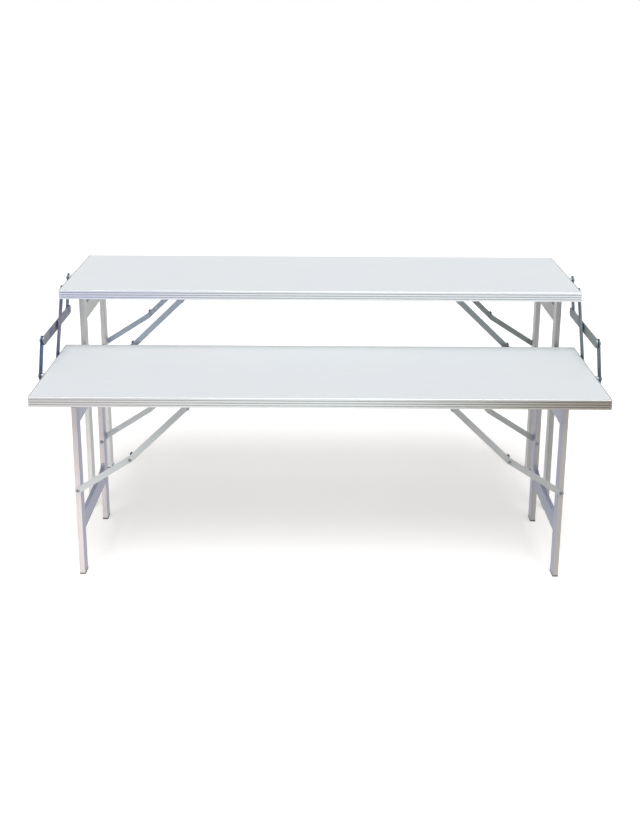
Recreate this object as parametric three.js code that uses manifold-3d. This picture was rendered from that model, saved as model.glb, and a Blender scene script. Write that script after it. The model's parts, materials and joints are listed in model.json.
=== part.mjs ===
// Two-tier market display table: a low front table and a taller rear table, tied at both ends by pivoted bars.
// Millimetres, +X along the tables, +Y towards the back, +Z up. The origin is on the floor, below the middle.

import * as THREE from "three";
import { mergeVertices } from "three/addons/utils/BufferGeometryUtils.js";
import Module from "manifold-3d";

const wasm = await Module();
wasm.setup();

// Table tops
const tableLength = 2000;
const tableDepth = 600;
const frontTierHeight = 710;
const upperTierHeight = 950;
const tierOverlap = 76;
const panelThickness = 18;

// Edge rails
const railHeight = 36;
const railWeb = 4;
const railReach = 18;
const railFlange = 2.5;
const railTopRadius = 3;
const railChamfer = 1;
const railCornerRadius = 6;
const grooveCount = 3;
const grooveHeight = 4;
const grooveDepth = 2.2;

// Legs
const legThickness = 20;
const legWidth = 50;
const legWall = 2;
const legCornerRadius = 3;
const legAboveHinge = 14;
const footThickness = 12;
const hingeDrop = 30;
const frontTierEndInset = 130;
const upperTierEndInset = 55;
const frontTierFrontInset = 72;
const frontTierBackInset = 34;
const upperTierFrontInset = 100;
const upperTierBackInset = 55;

// Cross tubes between a pair of legs
const crossTubeThickness = 15;
const crossTubeWall = 2;
const frontApronDrop = 60;
const frontApronHeight = 60;
const upperApronDrop = 76;
const upperApronHeight = 62;
const stretcherHeight = 62;
const frontStretcherBottom = 158;
const upperStretcherBottom = 450;

// Folding stays, two links to each leg
const stayDrop = 330;
const stayReach = 405;
const lowerStayLength = 225;
const upperStayLength = 300;
const stayWidth = 22;
const stayThickness = 3;
const staySpacer = 2.5;
const stayBoltRadius = 4;
const stayHeadRadius = 7;
const stayHeadThickness = 1.8;
const stopDistance = 20;
const stopLength = 6;
const stopThickness = 3;

// Cross bearers under the tops, with the ears that carry the hinges and the stays
const bearerWidth = 50;
const bearerHeight = 14;
const bearerWall = 3;
const hingeEarWidth = 34;
const hingeEarThickness = 4;
const hingePinRadius = 5;
const hingeHeadRadius = 8;
const hingeHeadThickness = 3;
const stayEarWidth = 26;
const stayEarThickness = 3;

// Tie bars at the table ends
const tieWidth = 36;
const tiePinDrop = 21;
const tieThickness = 5;
const tieSpacing = 3.6;
const tiePinRadius = 5;
const tieWasherRadius = 9;
const tieHeadThickness = 2.6;
const tieLean = 66;
const tieCentreBehindUpperFront = 21;
const tieBarHalfLength = 213;
const strapLean = 50;

// Clearances and facets
const seatGap = 0.3;
const faceGap = 0.5;
const pinGap = 0.3;
const embed = 1;
const roundSides = 12;
const arcSteps = 5;
const leastRadius = 0.5;
const cornerSteps = 1;
const edgeSteps = 3;
const mergeDistance = 1e-4;

// Places that follow from the sizes
const overallDepth = 2 * tableDepth - tierOverlap;
const frontTierMiddle = (tableDepth - overallDepth) / 2;
const upperTierMiddle = (overallDepth - tableDepth) / 2;
const upperFrontEdge = upperTierMiddle - tableDepth / 2;
const railOuter = tableLength / 2;

const frontTier = {
  name: "front",
  height: frontTierHeight,
  middle: frontTierMiddle,
  endInset: frontTierEndInset,
  frontInset: frontTierFrontInset,
  backInset: frontTierBackInset,
  apronDrop: frontApronDrop,
  apronHeight: frontApronHeight,
  stretcherBottom: frontStretcherBottom,
};
const upperTier = {
  name: "upper",
  height: upperTierHeight,
  middle: upperTierMiddle,
  endInset: upperTierEndInset,
  frontInset: upperTierFrontInset,
  backInset: upperTierBackInset,
  apronDrop: upperApronDrop,
  apronHeight: upperApronHeight,
  stretcherBottom: upperStretcherBottom,
};

const sides = [
  { name: "left", sign: -1 },
  { name: "right", sign: 1 },
];

const panelMaterial = new THREE.MeshStandardMaterial({ color: 0xe5e9ea, roughness: 0.45, metalness: 0 });
const railMaterial = new THREE.MeshStandardMaterial({ color: 0xb9bcbf, roughness: 0.35, metalness: 0.9 });
const legMaterial = new THREE.MeshStandardMaterial({ color: 0xc2bfc2, roughness: 0.4, metalness: 0.9 });
const stayMaterial = new THREE.MeshStandardMaterial({ color: 0xb4b4b6, roughness: 0.4, metalness: 0.9 });
const bearerMaterial = new THREE.MeshStandardMaterial({ color: 0xa8aaad, roughness: 0.5, metalness: 0.9 });
const tieMaterial = new THREE.MeshStandardMaterial({ color: 0x8f9396, roughness: 0.45, metalness: 0.9 });

// Solids: three.js shapes go in and out of the boolean library here
function solidOf(geometry) {
  const bare = geometry.index ? geometry.toNonIndexed() : geometry.clone();
  bare.deleteAttribute("normal");
  bare.deleteAttribute("uv");
  const merged = mergeVertices(bare, mergeDistance);
  const vertProperties = merged.attributes.position.array;
  const triVerts = new Uint32Array(merged.index.array);
  return new wasm.Manifold(new wasm.Mesh({ numProp: 3, vertProperties, triVerts }));
}

function geometryOf(solid) {
  const mesh = solid.getMesh();
  const geometry = new THREE.BufferGeometry();
  geometry.setAttribute("position", new THREE.BufferAttribute(mesh.vertProperties, 3));
  geometry.setIndex(new THREE.BufferAttribute(mesh.triVerts, 1));
  const faceted = geometry.toNonIndexed();
  faceted.computeVertexNormals();
  return faceted;
}

function join(...geometries) {
  return geometryOf(geometries.map(solidOf).reduce((whole, piece) => whole.add(piece)));
}

function cut(geometry, ...tools) {
  return geometryOf(tools.map(solidOf).reduce((whole, tool) => whole.subtract(tool), solidOf(geometry)));
}

function common(first, second) {
  return geometryOf(solidOf(first).intersect(solidOf(second)));
}

function box(low, high) {
  const size = high.map((value, i) => value - low[i]);
  const middle = high.map((value, i) => (value + low[i]) / 2);
  return new THREE.BoxGeometry(...size).translate(...middle);
}

// A round rod along X or Y, between two ends given in either order
function rodAlongX(y, z, xStart, xEnd, radius) {
  const rod = new THREE.CylinderGeometry(radius, radius, Math.abs(xEnd - xStart), roundSides);
  return rod.rotateZ(Math.PI / 2).translate((xStart + xEnd) / 2, y, z);
}

function rodAlongY(x, z, yStart, yEnd, radius) {
  const rod = new THREE.CylinderGeometry(radius, radius, Math.abs(yEnd - yStart), roundSides);
  return rod.translate(x, (yStart + yEnd) / 2, z);
}

// A flat plate: an outline in the XZ plane given thickness along Y, or one in the YZ plane along X
function extrude(shape, depth) {
  const options = { depth, bevelEnabled: false, curveSegments: arcSteps };
  return new THREE.ExtrudeGeometry(shape, options);
}

function plateAlongY(shape, yStart, yEnd) {
  const turn = new THREE.Matrix4().makeRotationX(Math.PI / 2);
  const plate = extrude(shape, Math.abs(yEnd - yStart)).applyMatrix4(turn);
  return plate.translate(0, Math.max(yStart, yEnd), 0);
}

function plateAlongX(shape, xStart, xEnd) {
  const along = new THREE.Vector3(1, 0, 0);
  const back = new THREE.Vector3(0, 1, 0);
  const up = new THREE.Vector3(0, 0, 1);
  const turn = new THREE.Matrix4().makeBasis(back, up, along);
  const plate = extrude(shape, Math.abs(xEnd - xStart)).applyMatrix4(turn);
  return plate.translate(Math.min(xStart, xEnd), 0, 0);
}

// A flat bar's outline between two points, with round ends and a hole at each point that asks for one
function barOutline(start, end, width, holeRadii) {
  const angle = Math.atan2(end.y - start.y, end.x - start.x);
  const shape = new THREE.Shape();
  shape.absarc(end.x, end.y, width / 2, angle - Math.PI / 2, angle + Math.PI / 2);
  shape.absarc(start.x, start.y, width / 2, angle + Math.PI / 2, angle + 1.5 * Math.PI);
  shape.closePath();
  [start, end].forEach((point, i) => {
    if (!holeRadii[i]) return;
    const hole = new THREE.Path();
    hole.absarc(point.x, point.y, holeRadii[i], 0, 2 * Math.PI);
    shape.holes.push(hole);
  });
  return shape;
}

function roundedRectangle(width, height, radius) {
  const shape = new THREE.Shape();
  const x = width / 2 - radius;
  const y = height / 2 - radius;
  shape.absarc(x, y, radius, 0, Math.PI / 2);
  shape.absarc(-x, y, radius, Math.PI / 2, Math.PI);
  shape.absarc(-x, -y, radius, Math.PI, 1.5 * Math.PI);
  shape.absarc(x, -y, radius, 1.5 * Math.PI, 2 * Math.PI);
  shape.closePath();
  return shape;
}

function roundedPrism(width, height, radius, zStart, zEnd) {
  const options = { depth: zEnd - zStart, bevelEnabled: false, curveSegments: cornerSteps };
  const prism = new THREE.ExtrudeGeometry(roundedRectangle(width, height, radius), options);
  return prism.translate(0, 0, zStart);
}

function piece(name, geometry, material, parent) {
  const mesh = new THREE.Mesh(geometry, material);
  mesh.name = name;
  parent.add(mesh);
}

// The top board, held inside the edge rails
function addPanel(tier, parent) {
  const halfLength = tableLength / 2 - railWeb - seatGap;
  const halfDepth = tableDepth / 2 - railWeb - seatGap;
  const low = [-halfLength, -halfDepth, tier.height - panelThickness];
  const high = [halfLength, halfDepth, tier.height];
  piece(`${tier.name}_top_panel`, box(low, high), panelMaterial, parent);
}

// The extruded edge profile: ribbed outside, a ledge under the board and a turned-in bottom flange
function railProfile() {
  const ledgeTop = -panelThickness - seatGap;
  const ledgeBottom = ledgeTop - railFlange;
  const bottom = -railHeight;
  const radius = Math.min(railTopRadius, railWeb - railChamfer);
  const points = [
    [radius, 0],
    [railWeb, 0],
    [railWeb, ledgeTop],
    [railReach, ledgeTop],
    [railReach, ledgeBottom],
    [railWeb, ledgeBottom],
    [railWeb, bottom + railFlange],
    [railReach, bottom + railFlange],
    [railReach, bottom],
    [railChamfer, bottom],
    [0, bottom + railChamfer],
  ];
  const pitch = railHeight / (grooveCount + 1);
  for (let i = 1; i <= grooveCount; i += 1) {
    const low = bottom + i * pitch - grooveHeight / 2;
    const high = low + grooveHeight;
    points.push([0, low], [grooveDepth, low], [grooveDepth, high], [0, high]);
  }
  for (let i = 0; i < edgeSteps; i += 1) {
    const angle = (i / edgeSteps) * (Math.PI / 2);
    points.push([radius - radius * Math.cos(angle), radius * Math.sin(angle) - radius]);
  }
  return new THREE.Shape(points.map(([inward, up]) => new THREE.Vector2(inward, up)));
}

// One rail with mitred ends, lying along X with its outer face towards -Y
function mitredRail(length, outerFace, height) {
  const rail = extrude(railProfile(), 1);
  const position = rail.attributes.position;
  for (let i = 0; i < position.count; i += 1) {
    const inward = position.getX(i);
    const up = position.getY(i);
    const end = position.getZ(i) > 0 ? 1 : -1;
    const along = end * (length / 2 - inward - seatGap / 2);
    position.setXYZ(i, along, inward - outerFace, height + up);
  }
  return rail;
}

function addRails(tier, pinsOf, parent) {
  const low = tier.height - railHeight - embed;
  const outline = roundedPrism(tableLength, tableDepth, railCornerRadius, low, tier.height + embed);
  const long = mitredRail(tableLength, tableDepth / 2, tier.height);
  const short = mitredRail(tableDepth, tableLength / 2, tier.height);
  const rails = {
    front: long,
    back: long.clone().rotateZ(Math.PI),
    left: short.clone().rotateZ(-Math.PI / 2),
    right: short.clone().rotateZ(Math.PI / 2),
  };
  Object.entries(rails).forEach(([place, rail]) => {
    const side = sides.find(({ name }) => name === place);
    const trimmed = common(rail, outline);
    const whole = side ? join(trimmed, ...pinsOf(side.sign)) : trimmed;
    piece(`${tier.name}_${place}_rail`, whole, railMaterial, parent);
  });
}

// Places inside one tier, measured from the middle of its top
function legPlaces(tier) {
  const front = -tableDepth / 2 + tier.frontInset;
  const back = tableDepth / 2 - tier.backInset;
  return [
    { name: "front", face: front, outward: -1, middle: front + legWidth / 2 },
    { name: "rear", face: back, outward: 1, middle: back - legWidth / 2 },
  ];
}

function hingeX(tier, side) {
  return side.sign * (tableLength / 2 - tier.endInset - legThickness / 2);
}

function underside(tier) {
  return tier.height - panelThickness;
}

function hingeZ(tier) {
  return underside(tier) - hingeDrop;
}

// The pivots of one pair of stays, in the XZ plane: leg bolt, knee and the pivot under the top
function stayPoints(tier, side) {
  const inward = -side.sign;
  const x = hingeX(tier, side);
  const z = hingeZ(tier);
  const bolt = new THREE.Vector2(x, z - stayDrop);
  const pivot = new THREE.Vector2(x + inward * stayReach, z);
  const span = bolt.distanceTo(pivot);
  const along = (lowerStayLength ** 2 - upperStayLength ** 2 + span ** 2) / (2 * span);
  const below = Math.sqrt(Math.max(lowerStayLength ** 2 - along ** 2, 0));
  const direction = pivot.clone().sub(bolt).normalize();
  const normal = new THREE.Vector2(direction.y * inward, -direction.x * inward);
  const knee = bolt.clone().addScaledVector(direction, along).addScaledVector(normal, below);
  return { bolt, knee, pivot };
}

// Distances out from a leg's face to the layers of its stays
const lowerLayer = [faceGap, faceGap + stayThickness];
const upperLayer = [lowerLayer[1] + staySpacer, lowerLayer[1] + staySpacer + stayThickness];
const earLayer = [upperLayer[0] - seatGap - stayEarThickness, upperLayer[0] - seatGap];

function layerY(leg, distance) {
  return leg.face + leg.outward * distance;
}

// A rectangular tube leg with a closed foot, hinge bores at its head and the bolt that holds its stay
function addLeg(tier, side, leg, parent) {
  const x = hingeX(tier, side);
  const z = hingeZ(tier);
  const top = z + legAboveHinge;
  const outer = roundedPrism(legThickness, legWidth, legCornerRadius, 0, top);
  const innerRadius = Math.max(legCornerRadius - legWall, leastRadius);
  const innerSize = [legThickness - 2 * legWall, legWidth - 2 * legWall];
  const inner = roundedPrism(...innerSize, innerRadius, footThickness, top + embed);
  const tube = cut(outer, inner).translate(x, leg.middle, 0);
  const bore = rodAlongY(x, z, leg.middle - legWidth, leg.middle + legWidth, hingePinRadius + pinGap);
  const { bolt } = stayPoints(tier, side);
  const headStart = layerY(leg, lowerLayer[1] + seatGap);
  const headEnd = layerY(leg, lowerLayer[1] + seatGap + stayHeadThickness);
  const shank = rodAlongY(bolt.x, bolt.y, layerY(leg, -embed), headEnd, stayBoltRadius);
  const head = rodAlongY(bolt.x, bolt.y, headStart, headEnd, stayHeadRadius);
  const name = `${tier.name}_${side.name}_${leg.name}_leg`;
  piece(name, join(cut(tube, bore), shank, head), legMaterial, parent);
}

// An open-ended rectangular tube that joins the two legs of a frame
function addCrossTube(name, tier, side, bottom, height, parent) {
  const [front, rear] = legPlaces(tier);
  const start = front.middle + legWidth / 2 + seatGap;
  const end = rear.middle - legWidth / 2 - seatGap;
  const x = hingeX(tier, side);
  const half = crossTubeThickness / 2;
  const bore = half - crossTubeWall;
  const outer = box([x - half, start, bottom], [x + half, end, bottom + height]);
  const innerLow = [x - bore, start - embed, bottom + crossTubeWall];
  const innerHigh = [x + bore, end + embed, bottom + height - crossTubeWall];
  const tube = cut(outer, box(innerLow, innerHigh));
  piece(`${tier.name}_${side.name}_${name}`, tube, legMaterial, parent);
}

function addLegFrame(tier, side, parent) {
  legPlaces(tier).forEach((leg) => addLeg(tier, side, leg, parent));
  const apronBottom = underside(tier) - tier.apronDrop - tier.apronHeight;
  addCrossTube("apron", tier, side, apronBottom, tier.apronHeight, parent);
  addCrossTube("stretcher", tier, side, tier.stretcherBottom, stretcherHeight, parent);
}

// A channel across the underside, open downwards
function bearerChannel(tier, x) {
  const half = bearerWidth / 2;
  const top = underside(tier) - seatGap;
  const bottom = top - bearerHeight;
  const end = tableDepth / 2 - railReach - seatGap;
  const outer = box([x - half, -end, bottom], [x + half, end, top]);
  const inner = box(
    [x - half + bearerWall, -end - embed, bottom - embed],
    [x + half - bearerWall, end + embed, top - bearerWall],
  );
  return cut(outer, inner);
}

// An ear that hangs from a bearer and ends in a half round about a pivot
function ear(tier, x, z, width, yStart, yEnd) {
  const top = underside(tier) - seatGap - bearerWall + embed;
  const shape = new THREE.Shape();
  shape.moveTo(x - width / 2, top);
  shape.absarc(x, z, width / 2, Math.PI, 2 * Math.PI);
  shape.lineTo(x + width / 2, top);
  shape.closePath();
  return plateAlongY(shape, yStart, yEnd);
}

function addHingeBearer(tier, side, parent) {
  const x = hingeX(tier, side);
  const z = hingeZ(tier);
  const pieces = [bearerChannel(tier, x)];
  legPlaces(tier).forEach((leg) => {
    const inner = legWidth / 2 + faceGap;
    const outer = inner + hingeEarThickness;
    const end = outer + hingeHeadThickness;
    pieces.push(ear(tier, x, z, hingeEarWidth, leg.middle - outer, leg.middle - inner));
    pieces.push(ear(tier, x, z, hingeEarWidth, leg.middle + inner, leg.middle + outer));
    pieces.push(rodAlongY(x, z, leg.middle - end, leg.middle + end, hingePinRadius));
    pieces.push(rodAlongY(x, z, leg.middle - end, leg.middle - outer + embed, hingeHeadRadius));
    pieces.push(rodAlongY(x, z, leg.middle + outer - embed, leg.middle + end, hingeHeadRadius));
  });
  piece(`${tier.name}_${side.name}_hinge_bearer`, join(...pieces), bearerMaterial, parent);
}

function addStayBearer(tier, side, parent) {
  const { pivot } = stayPoints(tier, side);
  const pieces = [bearerChannel(tier, pivot.x)];
  legPlaces(tier).forEach((leg) => {
    const earEnds = earLayer.map((distance) => layerY(leg, distance));
    const headStart = layerY(leg, upperLayer[1] + seatGap);
    const headEnd = layerY(leg, upperLayer[1] + seatGap + stayHeadThickness);
    pieces.push(ear(tier, pivot.x, pivot.y, stayEarWidth, ...earEnds));
    pieces.push(rodAlongY(pivot.x, pivot.y, earEnds[0], headEnd, stayBoltRadius));
    pieces.push(rodAlongY(pivot.x, pivot.y, headStart, headEnd, stayHeadRadius));
  });
  piece(`${tier.name}_${side.name}_stay_bearer`, join(...pieces), bearerMaterial, parent);
}

// The lower link: a flat bar on the leg bolt, with a spacer at the knee and the stop that the upper link meets
function lowerStay(tier, side, leg) {
  const { bolt, knee, pivot } = stayPoints(tier, side);
  const inward = -side.sign;
  const ends = lowerLayer.map((distance) => layerY(leg, distance));
  const bar = plateAlongY(barOutline(bolt, knee, stayWidth, [stayBoltRadius + pinGap, 0]), ...ends);
  const spacerEnd = layerY(leg, upperLayer[0] - seatGap);
  const spacer = rodAlongY(knee.x, knee.y, layerY(leg, lowerLayer[1] - embed), spacerEnd, stayHeadRadius);
  const direction = pivot.clone().sub(knee).normalize();
  const normal = new THREE.Vector2(-direction.y * inward, direction.x * inward);
  const offset = stayWidth / 2 + seatGap + stopThickness / 2;
  const stop = knee.clone().addScaledVector(direction, stopDistance).addScaledVector(normal, offset);
  const half = direction.clone().multiplyScalar(stopLength / 2);
  const rise = normal.clone().multiplyScalar(stopThickness / 2);
  const corners = [
    stop.clone().sub(half).sub(rise),
    stop.clone().add(half).sub(rise),
    stop.clone().add(half).add(rise),
    stop.clone().sub(half).add(rise),
  ];
  const tab = plateAlongY(new THREE.Shape(corners), ends[0], layerY(leg, upperLayer[1]));
  const lug = plateAlongY(barOutline(knee, stop, stopLength, [0, 0]), ...ends);
  return join(bar, spacer, lug, tab);
}

// The upper link: a flat bar from the knee, with its rivet head, to the pivot under the top
function upperStay(tier, side, leg) {
  const { knee, pivot } = stayPoints(tier, side);
  const ends = upperLayer.map((distance) => layerY(leg, distance));
  const bar = plateAlongY(barOutline(knee, pivot, stayWidth, [0, stayBoltRadius + pinGap]), ...ends);
  const headStart = layerY(leg, upperLayer[1] - embed);
  const headEnd = layerY(leg, upperLayer[1] + stayHeadThickness);
  return join(bar, rodAlongY(knee.x, knee.y, headStart, headEnd, stayHeadRadius));
}

function addStays(tier, side, parent) {
  legPlaces(tier).forEach((leg) => {
    const name = `${tier.name}_${side.name}_${leg.name}`;
    piece(`${name}_lower_stay`, lowerStay(tier, side, leg), stayMaterial, parent);
    piece(`${name}_upper_stay`, upperStay(tier, side, leg), stayMaterial, parent);
  });
}

// Pivots of the tie linkage in the YZ plane: it is the same when turned half round about its centre
function tiePoints() {
  const upperPinZ = upperTierHeight - tiePinDrop;
  const frontPinZ = frontTierHeight - tiePinDrop;
  const rise = (upperPinZ - frontPinZ) / 2;
  const centre = new THREE.Vector2(upperFrontEdge + tieCentreBehindUpperFront, frontPinZ + rise);
  const halfLink = new THREE.Vector2(tieLean, rise);
  const halfBar = new THREE.Vector2(tieBarHalfLength, 0);
  const strap = new THREE.Vector2(strapLean, rise);
  const barRear = centre.clone().add(halfBar);
  const barFront = centre.clone().sub(halfBar);
  return {
    centre,
    linkTop: centre.clone().add(halfLink),
    linkBottom: centre.clone().sub(halfLink),
    barRear,
    barFront,
    strapTop: barRear.clone().add(strap),
    strapBottom: barFront.clone().sub(strap),
  };
}

// Three layers of bars lie outside the table ends: the link, the long bar and the straps
const tiePitch = tieThickness + tieSpacing;
function tieLayer(sign, layer) {
  const start = railOuter + tieSpacing + layer * tiePitch;
  return [sign * start, sign * (start + tieThickness)];
}

// A pin with a washer up to a bar's inner face, a shank through the bar and a head outside it
function tiePin(sign, point, root, layer) {
  const [inner, outer] = tieLayer(sign, layer);
  const headStart = outer + sign * seatGap;
  const headEnd = headStart + sign * tieHeadThickness;
  return [
    rodAlongX(point.x, point.y, root, inner - sign * seatGap, tieWasherRadius),
    rodAlongX(point.x, point.y, root, headEnd, tiePinRadius),
    rodAlongX(point.x, point.y, headStart, headEnd, tieWasherRadius),
  ];
}

// Pins on the end rails, in the coordinates of their own tier
function railPins(tier, linkPivot, strapPivot) {
  const shift = new THREE.Vector2(tier.middle, 0);
  const link = linkPivot.clone().sub(shift);
  const strap = strapPivot.clone().sub(shift);
  return (sign) => {
    const root = sign * (railOuter - grooveDepth - embed);
    return [...tiePin(sign, link, root, 0), ...tiePin(sign, strap, root, 2)];
  };
}

function addTies(side, parent) {
  const { sign } = side;
  const points = tiePoints();
  const hole = tiePinRadius + pinGap;
  const [linkLayer, barLayer, strapLayer] = [0, 1, 2].map((layer) => tieLayer(sign, layer));

  const link = plateAlongX(barOutline(points.linkBottom, points.linkTop, tieWidth, [hole, hole]), ...linkLayer);
  const centrePin = tiePin(sign, points.centre, linkLayer[1] - sign * embed, 1);
  piece(`tie_link_${side.name}`, join(link, ...centrePin), tieMaterial, parent);

  const { barFront, barRear, centre } = points;
  const barPlate = plateAlongX(barOutline(barFront, barRear, tieWidth, [0, 0]), ...barLayer);
  const barHole = rodAlongX(centre.x, centre.y, barLayer[0] - sign * embed, barLayer[1] + sign * embed, hole);
  const spacers = [barFront, barRear].map((end) => {
    const start = barLayer[1] - sign * embed;
    return rodAlongX(end.x, end.y, start, strapLayer[0] - sign * seatGap, tieWasherRadius);
  });
  piece(`tie_bar_${side.name}`, join(cut(barPlate, barHole), ...spacers), tieMaterial, parent);

  const straps = {
    rear: [barRear, points.strapTop],
    front: [barFront, points.strapBottom],
  };
  Object.entries(straps).forEach(([name, [barEnd, railEnd]]) => {
    const strap = plateAlongX(barOutline(barEnd, railEnd, tieWidth, [0, hole]), ...strapLayer);
    const headStart = strapLayer[1] - sign * embed;
    const headEnd = strapLayer[1] + sign * tieHeadThickness;
    const head = rodAlongX(barEnd.x, barEnd.y, headStart, headEnd, tieWasherRadius);
    piece(`${name}_strap_${side.name}`, join(strap, head), tieMaterial, parent);
  });
}

function addTier(tier, pinsOf, parent) {
  const group = new THREE.Group();
  group.position.y = tier.middle;
  addPanel(tier, group);
  addRails(tier, pinsOf, group);
  sides.forEach((side) => {
    addHingeBearer(tier, side, group);
    addStayBearer(tier, side, group);
    addLegFrame(tier, side, group);
    addStays(tier, side, group);
  });
  parent.add(group);
}

const group = new THREE.Group();
const ties = tiePoints();
addTier(frontTier, railPins(frontTier, ties.linkBottom, ties.strapBottom), group);
addTier(upperTier, railPins(upperTier, ties.linkTop, ties.strapTop), group);
sides.forEach((side) => addTies(side, group));

export default group;
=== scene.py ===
"""Looks of a two-tier folding market table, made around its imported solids.

Metres, +X along the tables, +Y towards the back, +Z up. Each extra piece is modelled where it sits at rest
and rides on the body that carries it.
"""

import json
import math

import bmesh
import bpy
from mathutils import Matrix, Vector


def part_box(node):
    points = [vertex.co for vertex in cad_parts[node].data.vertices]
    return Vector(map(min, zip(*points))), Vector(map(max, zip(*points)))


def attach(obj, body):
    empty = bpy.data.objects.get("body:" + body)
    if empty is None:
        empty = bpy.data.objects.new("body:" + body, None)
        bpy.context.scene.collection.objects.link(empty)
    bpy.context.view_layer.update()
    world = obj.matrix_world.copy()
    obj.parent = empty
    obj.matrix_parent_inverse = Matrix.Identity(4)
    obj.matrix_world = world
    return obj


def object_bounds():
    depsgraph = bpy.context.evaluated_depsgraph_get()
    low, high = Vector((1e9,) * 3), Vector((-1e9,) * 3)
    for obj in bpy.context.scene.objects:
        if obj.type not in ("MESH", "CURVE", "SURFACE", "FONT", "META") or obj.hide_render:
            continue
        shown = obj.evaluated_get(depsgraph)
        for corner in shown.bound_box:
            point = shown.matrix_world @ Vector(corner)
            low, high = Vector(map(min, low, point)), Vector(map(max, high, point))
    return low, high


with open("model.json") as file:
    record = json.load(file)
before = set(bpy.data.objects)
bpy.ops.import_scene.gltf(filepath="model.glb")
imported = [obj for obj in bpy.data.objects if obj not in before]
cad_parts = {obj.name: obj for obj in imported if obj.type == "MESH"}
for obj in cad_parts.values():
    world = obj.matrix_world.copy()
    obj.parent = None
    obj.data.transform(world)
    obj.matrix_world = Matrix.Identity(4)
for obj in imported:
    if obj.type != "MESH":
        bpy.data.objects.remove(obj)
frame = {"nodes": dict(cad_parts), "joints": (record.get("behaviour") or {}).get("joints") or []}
cad_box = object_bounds()

MM = 0.001

# Names of the tiers, the ends (with their direction along X) and the legs (with that of their outer face)
TIERS = ("front", "upper")
SIDES = {"left": -1, "right": 1}
LEGS = {"front": -1, "rear": 1}
CROSS_TUBES = ("apron", "stretcher")
BEARERS = ("hinge", "stay")

# Camera, fitted to the corners of the tops and to the feet in a picture of this width
IMAGE_WIDTH = 640
FOCAL_PIXELS = 1116.2
AXIS_ABOVE_MIDDLE_PIXELS = 113.5
SENSOR_WIDTH = 36.0
CAMERA_PLACE = Vector((-0.0076, -4.1505, 2.0317))
CAMERA_PITCH = -0.2648
CAMERA_YAW = -0.0014
CAMERA_ROLL = 0.0059

# Light: an even sky, a broad overhead lamp from a little in front, and a low warm lamp at the left front
SKY_LEVEL = 0.36
SKY_TINT = (0.9, 0.92, 1.0)
SUN_STRENGTH = 2.2
SUN_TINT = (1.0, 0.99, 0.97)
SUN_ANGLE = math.radians(42)
SUN_FORWARD = math.radians(22)
SIDE_LAMP_PLACE = Vector((-1.15, -3.6, 0.12))
SIDE_LAMP_TARGET = Vector((-1.05, 0.0, 0.1))
SIDE_LAMP_SIZE = (1.2, 0.4)
SIDE_LAMP_SPREAD = math.radians(14)
SIDE_LAMP_POWER = 0.7
SIDE_LAMP_TINT = (1.0, 0.95, 0.93)

# Floor: what it gives back to the object, and how it shows, white with a faint warm shadow
FLOOR_HALF = 14.0
FLOOR_ALBEDO = 0.85
FLOOR_GLOW = 0.48
FLOOR_GLOW_TINT = (1.0, 0.955, 0.89)
FLOOR_SHADOW = 0.8

# Edges and facets
ROUND_STEPS = 24
CORNER_STEPS = 5
DOME_STEPS = 5
DOME_RIM_SHARE = 0.25
SMOOTH_ANGLE = math.radians(40)
WELD_DISTANCE = 0.005 * MM
BEVEL_SEGMENTS = 2
BEVEL_ANGLE = math.radians(35)
FLAT_FACE_WEIGHT = 100
PANEL_EDGE = 0.3 * MM
RAIL_EDGE = 0.4 * MM
SHEET_EDGE = 0.5 * MM
TUBE_EDGE = 0.6 * MM

# Legs and feet
LEG_WIDTH = 50 * MM
LEG_THICKNESS = 20 * MM
LEG_CORNER = 3 * MM
BOOT_HEIGHT = 6 * MM
BOOT_WALL = 0.8 * MM
BOOT_GAP = 0.05 * MM
BOOT_CHAMFER = 0.7 * MM

# Stays and their fasteners
STAY_WIDTH = 22 * MM
RIVET_RADIUS = 5.6 * MM
RIVET_HEIGHT = 1.5 * MM
RIVET_FLANGE = 1.8 * MM
LEG_BOLT_RADIUS = 6 * MM
LEG_BOLT_HEIGHT = 0.35 * MM
STOP_DISTANCE = 20 * MM
STOP_GAP = 0.3 * MM
BUFFER_LENGTH = 10 * MM
BUFFER_HEIGHT = 4.4 * MM
BUFFER_CORNER = 1.2 * MM
BUFFER_OVERHANG = 0.5 * MM
WASHER_RADIUS = 8 * MM
WASHER_HEIGHT = 1.2 * MM
WASHER_CHAMFER = 0.3 * MM
NUT_SIDES = 6
NUT_RADIUS = 6 * MM
NUT_HEIGHT = 4.5 * MM
NUT_CHAMFER = 0.75 * MM
NUT_BOLT_RADIUS = 3 * MM

# Caps on the pins of the tie linkage
TIE_CAP_RADIUS = 7.5 * MM
TIE_CAP_HEIGHT = 4 * MM

# Screws of the bearers
SCREW_RADIUS = 4.5 * MM
SCREW_HEIGHT = 2.4 * MM
SCREW_RIM_HEIGHT = 0.8 * MM
SCREW_SHOULDER_HEIGHT = 2 * MM
SCREW_FLAT_RADIUS = 3.2 * MM
SCREW_RECESS_LENGTH = 2.7 * MM
SCREW_RECESS_WIDTH = 0.6 * MM
SCREW_RECESS_DEPTH = 1.5 * MM
SCREW_RECESS_TAPER = 0.7
BEARER_WALL = 3 * MM
SCREW_OFFSETS = (-0.24, -0.12, 0.0, 0.12, 0.24)

# Weld beads, and the gussets on the lower cross tubes
BEAD_RADIUS = 1.5 * MM
BEAD_END_RADIUS = 0.75 * MM
BEAD_RIPPLE = 0.3 * MM
BEAD_PITCH = 2.2 * MM
BEAD_SIDES = 8
GUSSET_REACH = 52 * MM
GUSSET_RISE = 24 * MM
GUSSET_FEATHER = 0.6 * MM
GUSSET_STEPS = 10

# Curve from a display's values to linear ones
DISPLAY_WHITE = 255
CURVE_START = 0.04045
CURVE_SLOPE = 12.92
CURVE_OFFSET = 0.055
CURVE_POWER = 2.4


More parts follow.
